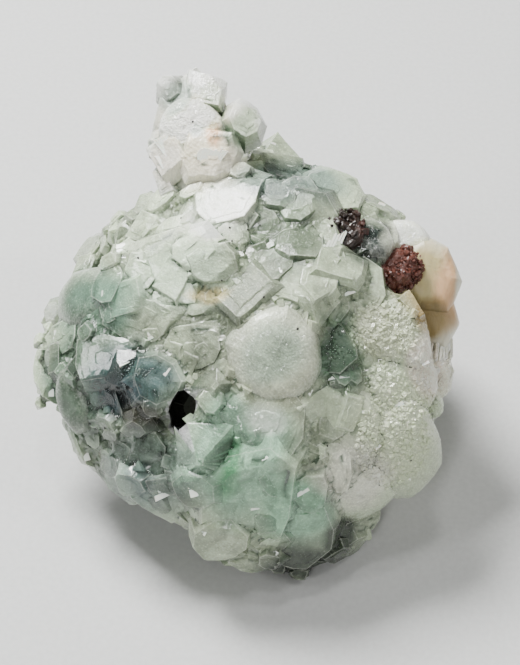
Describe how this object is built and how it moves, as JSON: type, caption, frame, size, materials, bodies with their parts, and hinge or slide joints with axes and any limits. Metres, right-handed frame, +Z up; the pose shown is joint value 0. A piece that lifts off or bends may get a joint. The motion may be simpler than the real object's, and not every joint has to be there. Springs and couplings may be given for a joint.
{
  "type": "apophyllite cluster",
  "caption": "Mineral specimen of grown-together pale apophyllite crystals with a stilbite column, on a dark basalt lump with a flat broken underside; stands on a surface for display.",
  "frame": {"origin": "under the middle of the specimen's bounding box, on the plane it rests on", "axes": "+Z up; -Y towards the viewer of the display face, which leans back; +X to that viewer's right"},
  "size_m": [0.0814, 0.0792, 0.0685],
  "materials": {
    "apophyllite": "glassy to milky crystal, pale grey-green",
    "stilbite_white": "pearly white with peach streaks",
    "stilbite_cream": "pearly cream to peach",
    "iron_druse": "granular, rust red to dark brown",
    "basalt": "matt dark grey-green broken rock"
  },
  "bodies": {
    "root": {"apophyllite_crystals": "apophyllite", "stilbite_column": "stilbite_white", "stilbite_wedge": "stilbite_cream", "rust_druse": "iron_druse", "basalt_matrix": "basalt"}
  },
  "joints": []
}
